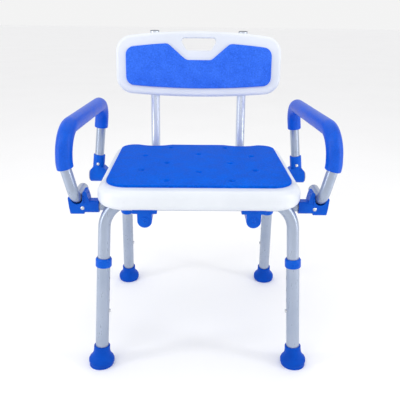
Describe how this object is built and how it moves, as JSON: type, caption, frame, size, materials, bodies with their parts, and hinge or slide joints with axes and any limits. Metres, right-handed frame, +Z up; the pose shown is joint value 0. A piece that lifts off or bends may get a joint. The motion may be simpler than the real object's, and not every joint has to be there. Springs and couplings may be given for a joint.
{
  "type": "shower chair",
  "caption": "Shower chair with moulded seat and backrest, foam pads, tubular frame, telescoping legs with rubber feet and flip-up padded arms.",
  "frame": {"origin": "on the floor beneath the middle of the chair's bounding box", "axes": "+Z up, the sitter faces -Y, +X to the sitter's left"},
  "size_m": [0.558, 0.4265, 0.671],
  "materials": {
    "white_panel": "smooth moulded, faint grain",
    "seat_foam": "closed-cell foam, fine texture",
    "back_foam": "closed-cell foam, fine texture",
    "grip_foam": "smooth-skinned foam",
    "blue_rubber": "moulded rubber",
    "blue_plastic": "moulded, satin",
    "grey_plastic": "moulded",
    "saddle_plastic": "moulded",
    "screw_steel": "zinc plated",
    "button_steel": "polished",
    "tube": "satin anodised"
  },
  "bodies": {
    "frame": {"arm_cradle_left": "blue_plastic", "arm_cradle_right": "blue_plastic", "back_bracket_front_left": "blue_plastic", "back_bracket_front_right": "blue_plastic", "back_bracket_rear_left": "blue_plastic", "back_bracket_rear_right": "blue_plastic", "bracket_screws": "screw_steel", "cradle_screws": "screw_steel", "cross_clamp_left": "blue_plastic", "cross_clamp_right": "blue_plastic", "frame_bolts": "screw_steel", "front_cross_tube": "tube", "front_leg_frame": "tube", "front_tube_saddles": "saddle_plastic", "pivot_end_caps": "grey_plastic", "rear_cross_tube": "tube", "rear_leg_frame": "tube", "rear_tube_saddles": "saddle_plastic", "seat_pad": "seat_foam", "seat_panel": "white_panel", "seat_screws": "screw_steel"},
    "arm_left": {"arm_grip_left": "grip_foam", "arm_pivot_left": "blue_plastic", "arm_plug_left": "grey_plastic", "arm_screw_left": "screw_steel", "arm_tube_left": "tube"},
    "arm_right": {"arm_grip_right": "grip_foam", "arm_pivot_right": "blue_plastic", "arm_plug_right": "grey_plastic", "arm_screw_right": "screw_steel", "arm_tube_right": "tube"},
    "back_button_left": {"back_button_left": "button_steel"},
    "back_button_right": {"back_button_right": "button_steel"},
    "backrest": {"back_pad": "back_foam", "back_panel": "white_panel", "back_screws": "screw_steel", "back_tube_caps": "grey_plastic", "back_tube_left": "tube", "back_tube_right": "tube"},
    "leg_front_left": {"foot_front_left": "blue_rubber", "leg_collar_front_left": "blue_plastic", "lower_leg_front_left": "tube"},
    "leg_front_right": {"foot_front_right": "blue_rubber", "leg_collar_front_right": "blue_plastic", "lower_leg_front_right": "tube"},
    "leg_rear_left": {"foot_rear_left": "blue_rubber", "leg_collar_rear_left": "blue_plastic", "lower_leg_rear_left": "tube"},
    "leg_rear_right": {"foot_rear_right": "blue_rubber", "leg_collar_rear_right": "blue_plastic", "lower_leg_rear_right": "tube"},
    "button_front_left": {"leg_button_front_left": "button_steel"},
    "button_front_right": {"leg_button_front_right": "button_steel"},
    "button_rear_left": {"leg_button_rear_left": "button_steel"},
    "button_rear_right": {"leg_button_rear_right": "button_steel"}
  },
  "joints": [
    {"name": "front_left_leg_slide", "type": "slide", "parent": "frame", "child": "leg_front_left", "axis": [-0.0582, -0.0783, -0.9952], "range_m": [0, 0.0762]},
    {"name": "front_left_button_press", "type": "slide", "parent": "frame", "child": "button_front_left", "axis": [-0.9983, 0.0023, 0.0582], "range_m": [0, 0.0046], "stiffness_N_per_m": 900, "springref_m": -0.004, "deforming": ["leg_button_front_left"]},
    {"name": "front_right_leg_slide", "type": "slide", "parent": "frame", "child": "leg_front_right", "axis": [0.0582, -0.0783, -0.9952], "range_m": [0, 0.0762]},
    {"name": "front_right_button_press", "type": "slide", "parent": "frame", "child": "button_front_right", "axis": [0.9983, 0.0023, 0.0582], "range_m": [0, 0.0046], "stiffness_N_per_m": 900, "springref_m": -0.004, "deforming": ["leg_button_front_right"]},
    {"name": "rear_left_leg_slide", "type": "slide", "parent": "frame", "child": "leg_rear_left", "axis": [-0.0377, 0.2053, -0.978], "range_m": [0, 0.0762]},
    {"name": "rear_left_button_press", "type": "slide", "parent": "frame", "child": "button_rear_left", "axis": [-0.9993, -0.0039, 0.0377], "range_m": [0, 0.0046], "stiffness_N_per_m": 900, "springref_m": -0.004, "deforming": ["leg_button_rear_left"]},
    {"name": "rear_right_leg_slide", "type": "slide", "parent": "frame", "child": "leg_rear_right", "axis": [0.0377, 0.2053, -0.978], "range_m": [0, 0.0762]},
    {"name": "rear_right_button_press", "type": "slide", "parent": "frame", "child": "button_rear_right", "axis": [0.9993, -0.0039, 0.0377], "range_m": [0, 0.0046], "stiffness_N_per_m": 900, "springref_m": -0.004, "deforming": ["leg_button_rear_right"]},
    {"name": "backrest_slide", "type": "slide", "parent": "frame", "child": "backrest", "axis": [0, 1, 0], "range_m": [0, 0.2]},
    {"name": "back_left_button_press", "type": "slide", "parent": "backrest", "child": "back_button_left", "axis": [0, 0, 1], "range_m": [0, 0.0052], "stiffness_N_per_m": 900, "springref_m": -0.004, "deforming": ["back_button_left"]},
    {"name": "back_right_button_press", "type": "slide", "parent": "backrest", "child": "back_button_right", "axis": [0, 0, 1], "range_m": [0, 0.0052], "stiffness_N_per_m": 900, "springref_m": -0.004, "deforming": ["back_button_right"]},
    {"name": "left_arm_swing", "type": "hinge", "parent": "frame", "child": "arm_left", "pos_m": [0, 0.1656, 0.3125], "axis": [-1, 0, 0], "range_deg": [0, 95]},
    {"name": "right_arm_swing", "type": "hinge", "parent": "frame", "child": "arm_right", "pos_m": [0, 0.1656, 0.3125], "axis": [-1, 0, 0], "range_deg": [0, 95]}
  ]
}
